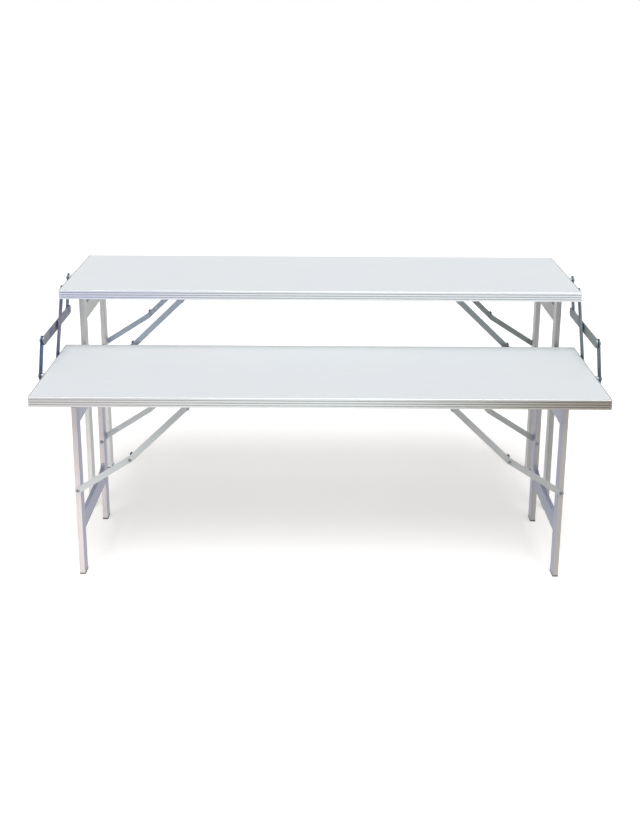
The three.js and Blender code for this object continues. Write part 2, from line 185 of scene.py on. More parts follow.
def linear(red, green, blue):
    """A colour given in display values, as the shader's linear values."""
    channels = []
    for value in (red, green, blue):
        share = value / DISPLAY_WHITE
        if share <= CURVE_START:
            channels.append(share / CURVE_SLOPE)
        else:
            channels.append(((share + CURVE_OFFSET) / (1 + CURVE_OFFSET)) ** CURVE_POWER)
    return (*channels, 1.0)


# Colours: plain, as a light and a dark tone, or as a drift over the left end, the middle and the right end
DRIFT_MIDDLE = 0.5
WHITE = (1.0, 1.0, 1.0)
LAMINATE_COOL = linear(229, 233, 236)
LAMINATE_WARM = linear(231, 234, 234)
LAMINATE_SCUFF = linear(214, 218, 221)
# Painted light on the long rails: brighter in the middle of each table, duller at the left end and, on the
# front table, much darker at the right end
RAIL_PAINTED_LIGHT_DRIFT = {
    "front": (linear(222, 219, 218), linear(245, 250, 249), linear(164, 157, 146)),
    "upper": (linear(226, 230, 248), linear(246, 251, 252), linear(246, 250, 254)),
}
# Painted shade in the grooves of the rails, in tones that change along each table
GROOVE_PAINTED_SHADE_DRIFT = {
    "front": (linear(160, 158, 157), linear(112, 112, 110), linear(74, 72, 69)),
    "upper": (linear(22, 26, 50), linear(84, 88, 98), linear(70, 74, 84)),
}
# Painted light on the lip along the top of the rails: the rounded top rib as it looks under the overhead
# light
LIP_PAINTED_LIGHT_DRIFT = {
    "front": (linear(208, 208, 210), linear(214, 220, 220), linear(190, 193, 196)),
    "upper": (linear(208, 212, 218), linear(214, 219, 222), linear(212, 216, 221)),
}
# Painted shade: the end rails duller and their lip dark, so that the top edge of each table end reads as a
# dark line
END_RAIL_PAINTED_SHADE = linear(174, 177, 182)
END_LIP_PAINTED_SHADE = {"front": linear(150, 152, 155), "upper": linear(70, 71, 74)}
# Painted light on the legs and cross tubes: lighter at the left end, where the light fell, darker towards
# the right
LEG_PAINTED_LIGHT_DRIFT = {
    "front": (linear(229, 220, 219), linear(208, 203, 202), linear(190, 186, 181)),
    "upper": (linear(228, 227, 225), linear(208, 208, 206), linear(188, 188, 185)),
}
# Painted shading on the leg faces that look to the middle of the table: a darker, bluer shade on the front
# table, and on the upper table a lighter tone that makes up for the shade under its top
LEG_INNER_PAINTED_SHADING = {
    "front": (linear(178, 180, 200), linear(177, 179, 199), linear(177, 179, 199)),
    "upper": (linear(216, 216, 214), linear(215, 215, 213), linear(215, 215, 213)),
}
# Painted shade on the cross tubes, which sit under the tops: darker and bluer on the front table
CROSS_PAINTED_SHADE = {
    ("front", "apron"): (linear(190, 192, 210), linear(188, 190, 206), linear(185, 187, 205)),
    ("front", "stretcher"): (linear(168, 170, 192), linear(168, 170, 188), linear(163, 165, 188)),
    ("upper", "apron"): (linear(206, 208, 204), linear(192, 194, 190), linear(184, 183, 180)),
    ("upper", "stretcher"): (linear(200, 202, 200), linear(188, 190, 187), linear(180, 180, 178)),
}
# Painted light on the stays: lighter and bluer at the left end, darker towards the right
STAY_PAINTED_LIGHT_DRIFT = {
    "front": (linear(208, 212, 212), linear(196, 199, 198), linear(184, 186, 184)),
    "upper": (linear(188, 202, 216), linear(170, 179, 184), linear(148, 154, 152)),
}
BEARER_COLOURS = (linear(186, 189, 192), linear(160, 164, 168))
TIE_DRIFT = {
    "tie_link": (linear(108, 108, 130), linear(112, 118, 128), linear(116, 128, 134)),
    "tie_bar": (linear(142, 146, 152), linear(138, 145, 150), linear(138, 148, 150)),
    "rear_strap": (linear(112, 124, 130), linear(102, 114, 126), linear(92, 106, 120)),
    "front_strap": (linear(72, 94, 132), linear(82, 101, 128), linear(92, 108, 122)),
}
TIE_PATCH_DRIFT = (linear(66, 82, 132), linear(78, 98, 128), linear(88, 108, 122))
BOLT_COLOURS = (linear(136, 136, 138), linear(108, 108, 112))
CAP_COLOURS = (linear(178, 190, 192), linear(140, 150, 154))
NUT_COLOURS = (linear(176, 177, 180), linear(150, 152, 157))
WELD_COLOURS = (linear(198, 197, 200), linear(172, 172, 177))
BOOT_COLOURS = (linear(132, 125, 120), linear(108, 103, 101))
# Painted shade: the dark buffer at each knee stop stands for the shadowed gap there
BUFFER_PAINTED_SHADE_COLOURS = (linear(92, 92, 94), linear(70, 70, 73))
METAL_SHADE = (0.82, 0.82, 0.83, 1.0)

# Scales of the noises, in repeats for each metre
GRAIN_ACROSS = 900.0
GRAIN_ALONG = 3.0
ALONG_X = (GRAIN_ALONG, GRAIN_ACROSS, GRAIN_ACROSS)
ALONG_Y = (GRAIN_ACROSS, GRAIN_ALONG, GRAIN_ACROSS)
ALONG_Z = (GRAIN_ACROSS, GRAIN_ACROSS, GRAIN_ALONG)
METAL_CLOUDS = 5.0
METAL_SPECKS = 420.0
ZINC_CELLS = 140.0
ZINC_CLOUDS = 14.0
TIE_CLOUDS = 7.0
TOP_CLOUDS = 2.2
TOP_SCUFFS = (6.0, 45.0, 6.0)
TOP_PEBBLE = 900.0
PLASTIC_GRAIN = 700.0
PLASTIC_CLOUDS = 30.0

# Detail and roughness of the noises, and the limits between which they mostly lie
PLAIN_NOISE = (3.0, 0.55)
SPECK_NOISE = (2.0, 0.55)
LINE_NOISE = (2.0, 0.5)
ZINC_NOISE = (4.0, 0.6)
SCUFF_NOISE = (5.0, 0.65)
NOISE_LIMITS = (0.3, 0.7)

# Strengths that several finishes share
GLOSS_SPREAD = 0.06
RELIEF_STRENGTH = 0.35
METAL_RELIEF = 0.02 * MM
GRAIN_STRENGTH = 0.45
CLOUD_STRENGTH = 0.4

# Rails: gloss, painted shade in the grooves and painted light on the lip along the top
RAIL_ROUGHNESS = 0.34
RAIL_METALLIC = 0.7
RAIL_RELIEF = 0.01 * MM
RAIL_LIP_HEIGHT = 2.4 * MM
RAIL_LIP_FADE = 1.6 * MM
RECESS_SHADE_REACH = 8 * MM
RECESS_SHADE_SAMPLES = 8
RECESS_SHADE_OPEN = (0.35, 0.75)

# Tubes and stays: gloss, and how far a face may look towards the table end and still take the painted
# shading of the inner faces
TUBE_ROUGHNESS = 0.4
TUBE_METALLIC = 0.35
STAY_METALLIC = 0.4
LEG_PAINTED_SHADING_LIMITS = (-0.8, -0.5)
CROSS_PAINTED_SHADE_LIMITS = (0.5, 0.8)

# Tie steel: gloss and patches
TIE_ROUGHNESS = 0.36
TIE_METALLIC = 0.7
TIE_PATCH_STRENGTH = 0.8
TIE_PATCH_LIMITS = (0.42, 0.6)

# Zinc-plated steel and weld beads
ZINC_CLOUD_STRENGTH = 0.6
BEARER_ROUGHNESS = 0.45
BEARER_METALLIC = 0.5
BOLT_ROUGHNESS = 0.4
BOLT_METALLIC = 0.7
CAP_ROUGHNESS = 0.36
CAP_METALLIC = 0.7
NUT_ROUGHNESS = 0.38
NUT_METALLIC = 0.6
WELD_ROUGHNESS = 0.42
WELD_METALLIC = 0.4

# Tops and plastic
TOP_ROUGHNESS = 0.55
TOP_SPECULAR = 0.12
TOP_RELIEF = 0.03 * MM
SCUFF_STRENGTH = 0.12
PLASTIC_ROUGHNESS = 0.6
PLASTIC_RELIEF = 0.05 * MM

# Sockets that share their names: the colours of a colour mix, and the two inputs of a shader mix
COLOUR_MIX_INPUTS = (6, 7)
COLOUR_MIX_OUTPUT = 2
SHADER_MIX_INPUTS = (1, 2)


# Materials

def new_material(name, roughness, metallic):
    """A material with its principled shader, ready for the nodes of its finish."""
    material = bpy.data.materials.new(name)
    material.use_nodes = True
    shader = material.node_tree.nodes["Principled BSDF"]
    shader.inputs["Roughness"].default_value = roughness
    shader.inputs["Metallic"].default_value = metallic
    return material, material.node_tree, shader


def own_coordinates(tree, output="Object"):
    """The piece's own coordinates, or its own normal."""
    return tree.nodes.new("ShaderNodeTexCoord").outputs[output]


def own_axis(tree, output, axis):
    """One component of the piece's own coordinates or of its own normal."""
    parts = tree.nodes.new("ShaderNodeSeparateXYZ")
    tree.links.new(own_coordinates(tree, output), parts.inputs["Vector"])
    return parts.outputs[axis]


def maths(tree, operation, *values):
    """The result of an operation on one or two values."""
    node = tree.nodes.new("ShaderNodeMath")
    node.operation = operation
    for value, socket in zip(values, node.inputs):
        tree.links.new(value, socket)
    return node.outputs["Value"]


def noise(tree, scale, kind=PLAIN_NOISE):
    """A noise over the piece's own coordinates, with one scale or one for each axis."""
    detail, roughness = kind
    mapping = tree.nodes.new("ShaderNodeMapping")
    mapping.inputs["Scale"].default_value = scale if isinstance(scale, tuple) else (scale, scale, scale)
    texture = tree.nodes.new("ShaderNodeTexNoise")
    texture.inputs["Scale"].default_value = 1.0
    texture.inputs["Detail"].default_value = detail
    texture.inputs["Roughness"].default_value = roughness
    tree.links.new(own_coordinates(tree), mapping.inputs["Vector"])
    tree.links.new(mapping.outputs["Vector"], texture.inputs["Vector"])
    return texture.outputs["Fac"]


def spread(tree, value, low, high, limits=NOISE_LIMITS):
    """A value between two limits, a noise by default, spread between two numbers."""
    node = tree.nodes.new("ShaderNodeMapRange")
    node.inputs["From Min"].default_value = limits[0]
    node.inputs["From Max"].default_value = limits[1]
    node.inputs["To Min"].default_value = low
    node.inputs["To Max"].default_value = high
    tree.links.new(value, node.inputs["Value"])
    return node.outputs["Result"]


def blend_colours(tree, factor, first, second, kind="MIX"):
    """A mix of two colours, each a plain colour or a socket."""
    node = tree.nodes.new("ShaderNodeMix")
    node.data_type = "RGBA"
    node.blend_type = kind
    tree.links.new(factor, node.inputs["Factor"])
    for index, colour in zip(COLOUR_MIX_INPUTS, (first, second)):
        if isinstance(colour, bpy.types.NodeSocket):
            tree.links.new(colour, node.inputs[index])
        else:
            node.inputs[index].default_value = colour
    return node.outputs[COLOUR_MIX_OUTPUT]


def add_bump(tree, shader, height, distance):
    """Fine relief from a height value."""
    bump = tree.nodes.new("ShaderNodeBump")
    bump.inputs["Distance"].default_value = distance
    bump.inputs["Strength"].default_value = RELIEF_STRENGTH
    tree.links.new(height, bump.inputs["Height"])
    tree.links.new(bump.outputs["Normal"], shader.inputs["Normal"])


def vary_gloss(tree, shader, value):
    """Spreads the shader's roughness by a value."""
    roughness = shader.inputs["Roughness"]
    middle = roughness.default_value
    gloss = spread(tree, value, middle - GLOSS_SPREAD, middle + GLOSS_SPREAD)
    tree.links.new(gloss, roughness)


def cloudy_tone(tree, colours, scale):
    """A tone that drifts in clouds between a light and a dark colour."""
    light, dark = colours
    return blend_colours(tree, spread(tree, noise(tree, scale), 0.0, 1.0), dark, light)


def clouded(tree, tone):
    """A tone with soft darker clouds."""
    clouds = spread(tree, noise(tree, METAL_CLOUDS), 0.0, CLOUD_STRENGTH)
    return blend_colours(tree, clouds, tone, METAL_SHADE, "MULTIPLY")


def add_grain(tree, shader, tone, grain, relief):
    """Long fine drawing lines over a tone, in colour and relief, with uneven gloss."""
    lines = noise(tree, grain, LINE_NOISE)
    drawn = blend_colours(tree, spread(tree, lines, 0.0, GRAIN_STRENGTH), tone, METAL_SHADE, "MULTIPLY")
    tree.links.new(drawn, shader.inputs["Base Color"])
    vary_gloss(tree, shader, noise(tree, METAL_SPECKS, SPECK_NOISE))
    add_bump(tree, shader, lines, relief)


def along_table(tree, colours):
    """A colour that drifts from the left end of a table over its middle to the right end."""
    share = spread(tree, own_axis(tree, "Object", "X"), 0.0, 1.0, (cad_box[0][0], cad_box[1][0]))
    ramp = tree.nodes.new("ShaderNodeValToRGB")
    ramp.color_ramp.interpolation = "EASE"
    stops = ramp.color_ramp.elements
    stops.new(DRIFT_MIDDLE)
    for stop, colour in zip(stops, colours):
        stop.color = colour
    tree.links.new(share, ramp.inputs["Fac"])
    return ramp.outputs["Color"]


def towards_end(tree):
    """1 on a face that looks along X to the nearer table end, -1 on one that looks to the middle."""
    end = maths(tree, "SIGN", own_axis(tree, "Object", "X"))
    return maths(tree, "MULTIPLY", end, own_axis(tree, "Normal", "X"))


def drawn_metal(name, drift, grain, metallic, painted_shading=None, painted_shading_limits=None):
    """Drawn tube or strip: fine grain over a clouded tone of painted light that drifts along the table, with
    painted shading on its inner faces if asked.
    """
    material, tree, shader = new_material(name, TUBE_ROUGHNESS, metallic)
    tone = along_table(tree, drift)
    if painted_shading:
        # Faces that look to the middle of the table take a tone of painted shading
        inner = spread(tree, towards_end(tree), 1.0, 0.0, painted_shading_limits)
        tone = blend_colours(tree, inner, tone, along_table(tree, painted_shading))
    add_grain(tree, shader, clouded(tree, tone), grain, METAL_RELIEF)
    return material


def add_recess_shade(tree, unshaded, dark):
    """A colour with painted shade: it darkens in the narrow recesses of its own piece, where ambient
    occlusion finds them.
    """
    recess = tree.nodes.new("ShaderNodeAmbientOcclusion")
    recess.only_local = True
    recess.samples = RECESS_SHADE_SAMPLES
    recess.inputs["Distance"].default_value = RECESS_SHADE_REACH
    return blend_colours(tree, spread(tree, recess.outputs["AO"], 0.0, 1.0, RECESS_SHADE_OPEN), dark, unshaded)


def lip_share(tree, tier):
    """1 on the lip along the top of a rail, 0 below it."""
    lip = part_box(f"{tier}_front_rail")[1].z - RAIL_LIP_HEIGHT
    return spread(tree, own_axis(tree, "Object", "Z"), 0.0, 1.0, (lip - RAIL_LIP_FADE, lip))


def long_rail_metal(tier):
    """Ribbed long rail: aluminium with painted light that drifts along its length, painted shade in the
    grooves, and a lip of painted light along the top.
    """
    material, tree, shader = new_material(f"{tier}_rail_long", RAIL_ROUGHNESS, RAIL_METALLIC)
    groove_shaded = add_recess_shade(tree, along_table(tree, RAIL_PAINTED_LIGHT_DRIFT[tier]), along_table(tree, GROOVE_PAINTED_SHADE_DRIFT[tier]))
    tone = blend_colours(tree, lip_share(tree, tier), groove_shaded, along_table(tree, LIP_PAINTED_LIGHT_DRIFT[tier]))
    add_grain(tree, shader, tone, ALONG_X, RAIL_RELIEF)
    return material


def end_rail_metal(tier):
    """Ribbed end rail: the same aluminium, made duller with painted shade, with painted shade in the grooves
    and a dark lip of painted shade.
    """
    material, tree, shader = new_material(f"{tier}_rail_end", RAIL_ROUGHNESS, RAIL_METALLIC)
    groove_shaded = add_recess_shade(tree, clouded(tree, END_RAIL_PAINTED_SHADE), along_table(tree, GROOVE_PAINTED_SHADE_DRIFT[tier]))
    tone = blend_colours(tree, lip_share(tree, tier), groove_shaded, END_LIP_PAINTED_SHADE[tier])
    add_grain(tree, shader, tone, ALONG_Y, RAIL_RELIEF)
    return material


def tie_metal(piece):
    """Blue-passivated steel: slate with drifting blue patches under the drawing lines."""
    material, tree, shader = new_material(f"{piece}_steel", TIE_ROUGHNESS, TIE_METALLIC)
    slate = clouded(tree, along_table(tree, TIE_DRIFT[piece]))
    patches = spread(tree, noise(tree, TIE_CLOUDS), 0.0, TIE_PATCH_STRENGTH, TIE_PATCH_LIMITS)
    tone = blend_colours(tree, patches, slate, along_table(tree, TIE_PATCH_DRIFT))
    add_grain(tree, shader, tone, ALONG_Y, METAL_RELIEF)
    return material


def zinc_metal(name, colours, roughness, metallic):
    """Zinc-plated sheet: faint crystal patches under a dull sheen."""
    light, dark = colours
    material, tree, shader = new_material(name, roughness, metallic)
    cells = tree.nodes.new("ShaderNodeTexVoronoi")
    cells.inputs["Scale"].default_value = ZINC_CELLS
    tree.links.new(own_coordinates(tree), cells.inputs["Vector"])
    grey = tree.nodes.new("ShaderNodeRGBToBW")
    tree.links.new(cells.outputs["Color"], grey.inputs["Color"])
    clouds = noise(tree, ZINC_CLOUDS, ZINC_NOISE)
    patches = blend_colours(tree, grey.outputs["Val"], dark, light)
    tone = blend_colours(tree, spread(tree, clouds, 0.0, ZINC_CLOUD_STRENGTH), patches, light)
    tree.links.new(tone, shader.inputs["Base Color"])
    vary_gloss(tree, shader, grey.outputs["Val"])
    add_bump(tree, shader, clouds, METAL_RELIEF)
    return material


def laminate():
    """White laminate on board: satin, with a very fine pebble and faint handling marks."""
    material, tree, shader = new_material("top_laminate", TOP_ROUGHNESS, 0.0)
    shader.inputs["Specular IOR Level"].default_value = TOP_SPECULAR
    scuffs = noise(tree, TOP_SCUFFS, SCUFF_NOISE)
    tone = cloudy_tone(tree, (LAMINATE_WARM, LAMINATE_COOL), TOP_CLOUDS)
    marked = blend_colours(tree, spread(tree, scuffs, 0.0, SCUFF_STRENGTH), tone, LAMINATE_SCUFF)
    tree.links.new(marked, shader.inputs["Base Color"])
    vary_gloss(tree, shader, scuffs)
    add_bump(tree, shader, noise(tree, TOP_PEBBLE, SPECK_NOISE), TOP_RELIEF)
    return material


def moulded_plastic(name, colours):
    """Dull moulded plastic with a fine spark-eroded grain."""
    material, tree, shader = new_material(name, PLASTIC_ROUGHNESS, 0.0)
    tree.links.new(cloudy_tone(tree, colours, PLASTIC_CLOUDS), shader.inputs["Base Color"])
    grain = noise(tree, PLASTIC_GRAIN)
    vary_gloss(tree, shader, grain)
    add_bump(tree, shader, grain, PLASTIC_RELIEF)
    return material


def table_finishes(tier):
    """The metals of one table: its rails, legs, cross tubes and stays."""
    tube_painted_light = LEG_PAINTED_LIGHT_DRIFT[tier]
    leg_painted_shading = (LEG_INNER_PAINTED_SHADING[tier], LEG_PAINTED_SHADING_LIMITS)
    metals = {
        "long_rail": long_rail_metal(tier),
        "end_rail": end_rail_metal(tier),
        "leg": drawn_metal(f"{tier}_leg_metal", tube_painted_light, ALONG_Z, TUBE_METALLIC, *leg_painted_shading),
        "stay": drawn_metal(f"{tier}_stay_steel", STAY_PAINTED_LIGHT_DRIFT[tier], ALONG_X, STAY_METALLIC),
    }
    for tube in CROSS_TUBES:
        name = f"{tier}_{tube}_metal"
        cross_painted_shade = (CROSS_PAINTED_SHADE[tier, tube], CROSS_PAINTED_SHADE_LIMITS)
        metals[tube] = drawn_metal(name, tube_painted_light, ALONG_Y, TUBE_METALLIC, *cross_painted_shade)
    return metals


finishes = {tier: table_finishes(tier) for tier in TIERS}
top_finish = laminate()
tie_finishes = {piece: tie_metal(piece) for piece in TIE_DRIFT}
bearer_finish = zinc_metal("bearer_steel", BEARER_COLOURS, BEARER_ROUGHNESS, BEARER_METALLIC)
bolt_finish = zinc_metal("bolt_steel", BOLT_COLOURS, BOLT_ROUGHNESS, BOLT_METALLIC)
cap_finish = zinc_metal("cap_steel", CAP_COLOURS, CAP_ROUGHNESS, CAP_METALLIC)
nut_finish = zinc_metal("nut_steel", NUT_COLOURS, NUT_ROUGHNESS, NUT_METALLIC)
weld_finish = zinc_metal("weld_bead", WELD_COLOURS, WELD_ROUGHNESS, WELD_METALLIC)
boot_finish = moulded_plastic("boot_plastic", BOOT_COLOURS)
buffer_shade_finish = moulded_plastic("buffer_painted_shade", BUFFER_PAINTED_SHADE_COLOURS)


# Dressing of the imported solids

def smooth_group():
    """A modifier group that shades a mesh smooth and keeps the edges sharper than an angle."""
    group = bpy.data.node_groups.new("smooth_by_angle", "GeometryNodeTree")
    group.interface.new_socket("Geometry", in_out="INPUT", socket_type="NodeSocketGeometry")
    group.interface.new_socket("Geometry", in_out="OUTPUT", socket_type="NodeSocketGeometry")
    start = group.nodes.new("NodeGroupInput")
    faces = group.nodes.new("GeometryNodeSetShadeSmooth")
    edges = group.nodes.new("GeometryNodeSetShadeSmooth")
    edges.domain = "EDGE"
    edges.inputs["Shade Smooth"].default_value = False
    angle = group.nodes.new("GeometryNodeInputMeshEdgeAngle")
    sharper = group.nodes.new("FunctionNodeCompare")
    sharper.operation = "GREATER_THAN"
    sharper.inputs["B"].default_value = SMOOTH_ANGLE
    end = group.nodes.new("NodeGroupOutput")
    group.links.new(start.outputs["Geometry"], faces.inputs["Geometry"])
    group.links.new(faces.outputs["Geometry"], edges.inputs["Geometry"])
    group.links.new(angle.outputs["Unsigned Angle"], sharper.inputs["A"])
    group.links.new(sharper.outputs["Result"], edges.inputs["Selection"])
    group.links.new(edges.outputs["Geometry"], end.inputs["Geometry"])
    return group


smooth_by_angle = smooth_group()


def add_smoothing(obj):
    modifier = obj.modifiers.new("smooth", "NODES")
    modifier.node_group = smooth_by_angle


def dress(node, material, edge):
    """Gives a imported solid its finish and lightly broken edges."""
    obj = frame["nodes"][node]
    if not obj.material_slots:
        obj.data.materials.append(material)
    for slot in obj.material_slots:
        slot.material = material
    weld = obj.modifiers.new("weld", "WELD")
    weld.merge_threshold = WELD_DISTANCE
    bevel = obj.modifiers.new("edge", "BEVEL")
    bevel.width = edge
    bevel.segments = BEVEL_SEGMENTS
    bevel.limit_method = "ANGLE"
    bevel.angle_limit = BEVEL_ANGLE
    add_smoothing(obj)
    flat = obj.modifiers.new("flat_faces", "WEIGHTED_NORMAL")
    flat.keep_sharp = True
    flat.weight = FLAT_FACE_WEIGHT


def dress_table(tier):
    metals = finishes[tier]
    dress(f"{tier}_top_panel", top_finish, PANEL_EDGE)
    for place in ("front", "back"):
        dress(f"{tier}_{place}_rail", metals["long_rail"], RAIL_EDGE)
    for side in SIDES:
        dress(f"{tier}_{side}_rail", metals["end_rail"], RAIL_EDGE)
        for kind in BEARERS:
            dress(f"{tier}_{side}_{kind}_bearer", bearer_finish, SHEET_EDGE)
        for tube in CROSS_TUBES:
            dress(f"{tier}_{side}_{tube}", metals[tube], TUBE_EDGE)
        for leg in LEGS:
            dress(f"{tier}_{side}_{leg}_leg", metals["leg"], TUBE_EDGE)
            for link in ("lower", "upper"):
                dress(f"{tier}_{side}_{leg}_{link}_stay", metals["stay"], SHEET_EDGE)


def dress_ties(side):
    for piece, metal in tie_finishes.items():
        dress(f"{piece}_{side}", metal, SHEET_EDGE)


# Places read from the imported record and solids

joints = {joint["name"]: joint for joint in frame["joints"]}


def joint_place(name):
    return Vector(joints[name]["pos_m"])


def inner_face(tier, side, leg):
    """The Y of the leg face that looks at the other leg of its frame."""
    low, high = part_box(f"{tier}_{side}_{leg}_leg")
    return low.y if LEGS[leg] > 0 else high.y


def outer_y(node, leg):
    """The Y of a node's face on the outer side of a leg."""
    low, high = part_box(node)
    return high.y if LEGS[leg] > 0 else low.y


def outer_x(node, side):
    """The X of a node's face at the outer side of a table end."""
    low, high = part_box(node)
    return high.x if SIDES[side] > 0 else low.x


def knee_place(tier, side):
    """Where the two links of a stay meet: the far round end of the upper link."""
    low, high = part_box(f"{tier}_{side}_front_upper_stay")
    half = STAY_WIDTH / 2
    x = low.x + half if SIDES[side] < 0 else high.x - half
    return Vector((x, 0.0, low.z + half))


# Mesh building

def finish_piece(name, bm, material, body):
    """Turns a built mesh into a piece that rides on a body."""
    bmesh.ops.remove_doubles(bm, verts=bm.verts, dist=WELD_DISTANCE)
    bmesh.ops.recalc_face_normals(bm, faces=bm.faces)
    mesh = bpy.data.meshes.new(name)
    bm.to_mesh(mesh)
    bm.free()
    mesh.materials.append(material)
    obj = bpy.data.objects.new(name, mesh)
    bpy.context.scene.collection.objects.link(obj)
    add_smoothing(obj)
    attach(obj, body)


def bridge(bm, rings, wrap=False):
    """Joins rings of as many points with quads, and the last to the first if asked."""
    loops = [[bm.verts.new(point) for point in ring] for ring in rings]
    pairs = list(zip(loops, loops[1:]))
    if wrap:
        pairs.append((loops[-1], loops[0]))
    for low, high in pairs:
        for i in range(len(low)):
            j = (i + 1) % len(low)
            bm.faces.new((low[i], low[j], high[j], high[i]))
    return loops


def close_ends(bm, loops):
    bm.faces.new(reversed(loops[0]))
    bm.faces.new(loops[-1])


def facing(place, direction):
    """A matrix that takes +Z to a direction and the origin to a place."""
    turn = Vector((0, 0, 1)).rotation_difference(Vector(direction)).to_matrix().to_4x4()
    return Matrix.Translation(place) @ turn


def circle(radius, height, steps=ROUND_STEPS):
    points = []
    for i in range(steps):
        angle = 2 * math.pi * i / steps
        points.append(Vector((radius * math.cos(angle), radius * math.sin(angle), height)))
    return points


def turned(bm, profile, matrix, steps=ROUND_STEPS):
    """A turned piece from (radius, height) pairs, closed at both ends."""
    rings = [[matrix @ point for point in circle(radius, height, steps)] for radius, height in profile]
    close_ends(bm, bridge(bm, rings))


def dome_profile(radius, height):
    """A low domed head, from its rim to near its middle."""
    rim = DOME_RIM_SHARE * height
    profile = [(radius, 0.0)]
    for i in range(DOME_STEPS):
        angle = math.pi / 2 * i / DOME_STEPS
        profile.append((radius * math.cos(angle), rim + (height - rim) * math.sin(angle)))
    return profile


def add_dome(bm, place, direction, radius, height):
    turned(bm, dome_profile(radius, height), facing(place, direction))


def add_nut(bm, place, direction):
    """A washer with a chamfered hexagon nut and the rounded end of its bolt."""
    matrix = facing(place, direction)
    top = WASHER_HEIGHT + NUT_HEIGHT

    def chamfered(radius, low, high, chamfer, steps):
        profile = [(radius, low), (radius, high - chamfer), (radius - chamfer, high)]
        turned(bm, profile, matrix, steps)

    chamfered(WASHER_RADIUS, 0.0, WASHER_HEIGHT, WASHER_CHAMFER, ROUND_STEPS)
    chamfered(NUT_RADIUS, WASHER_HEIGHT, top, NUT_CHAMFER, NUT_SIDES)
    chamfered(NUT_BOLT_RADIUS, top, top + 2 * NUT_CHAMFER, NUT_CHAMFER, ROUND_STEPS)


def rounded_rectangle(half_width, half_depth, radius):
    """Points round a rectangle with round corners."""
    points = []
    corners = ((1, 1), (-1, 1), (-1, -1), (1, -1))
    for quarter, (sign_x, sign_y) in enumerate(corners):
        centre = Vector((sign_x * (half_width - radius), sign_y * (half_depth - radius)))
        for i in range(CORNER_STEPS + 1):
            angle = math.pi / 2 * (quarter + i / CORNER_STEPS)
            points.append(centre + radius * Vector((math.cos(angle), math.sin(angle))))
    return points


def cross_outline(length, width, height):
    """Points round an upright cross, as many as in a circle."""
    quarter = (
        (length, 0.0), (length, width), ((length + width) / 2, width),
        (width, width), (width, (length + width) / 2), (width, length),
    )
    points = []
    for turn in range(4):
        rotation = Matrix.Rotation(turn * math.pi / 2, 3, "Z")
        points.extend(rotation @ Vector((x, y, height)) for x, y in quarter)
    return points


# Feet: a dark sleeve round the end of each leg

def add_boot(tier, side, leg):
    middle_y = inner_face(tier, side, leg) + LEGS[leg] * LEG_WIDTH / 2
    middle = Vector((joint_place(f"{tier}_{side}_fold").x, middle_y, 0.0))

    def ring(grow, height):
        outline = rounded_rectangle(LEG_THICKNESS / 2 + grow, LEG_WIDTH / 2 + grow, LEG_CORNER + grow)
        return [middle + Vector((point.x, point.y, height)) for point in outline]

    grown = BOOT_GAP + BOOT_WALL
    rings = [
        ring(BOOT_GAP, 0.0),
        ring(grown, 0.0),
        ring(grown, BOOT_HEIGHT - BOOT_CHAMFER),
        ring(grown - BOOT_CHAMFER, BOOT_HEIGHT),
        ring(BOOT_GAP, BOOT_HEIGHT),
    ]
    bm = bmesh.new()
    bridge(bm, rings, wrap=True)
    finish_piece(f"{tier}_{side}_{leg}_boot", bm, boot_finish, f"{tier}_{side}_legs")


# Fasteners of the stays

def add_stay_fasteners(tier, side, leg):
    name = f"{tier}_{side}_{leg}"
    outward = Vector((0, LEGS[leg], 0))
    legs = f"{tier}_{side}_legs"
    knee = knee_place(tier, side)
    pivot = joint_place(f"{tier}_{side}_upper_stay_turn")
    bolt = joint_place(f"{tier}_{side}_lower_stay_turn")

    rivet = bmesh.new()
    place = Vector((knee.x, outer_y(f"{name}_upper_stay", leg), knee.z))
    add_dome(rivet, place, outward, RIVET_RADIUS, RIVET_HEIGHT)
    finish_piece(f"{name}_knee_rivet", rivet, bolt_finish, f"{tier}_{side}_upper_stays")

    pivot_cap = bmesh.new()
    place = Vector((pivot.x, outer_y(f"{tier}_{side}_stay_bearer", leg), pivot.z))
    add_dome(pivot_cap, place, outward, RIVET_RADIUS, RIVET_HEIGHT)
    finish_piece(f"{name}_pivot_rivet", pivot_cap, nut_finish, f"{tier}_table")

    cap = bmesh.new()
    place = Vector((bolt.x, outer_y(f"{name}_leg", leg), bolt.z))
    add_dome(cap, place, outward, LEG_BOLT_RADIUS, LEG_BOLT_HEIGHT)
    finish_piece(f"{name}_bolt_head", cap, bolt_finish, legs)

    nut = bmesh.new()
    add_nut(nut, Vector((bolt.x, inner_face(tier, side, leg), bolt.z)), -outward)
    finish_piece(f"{name}_bolt_nut", nut, nut_finish, legs)


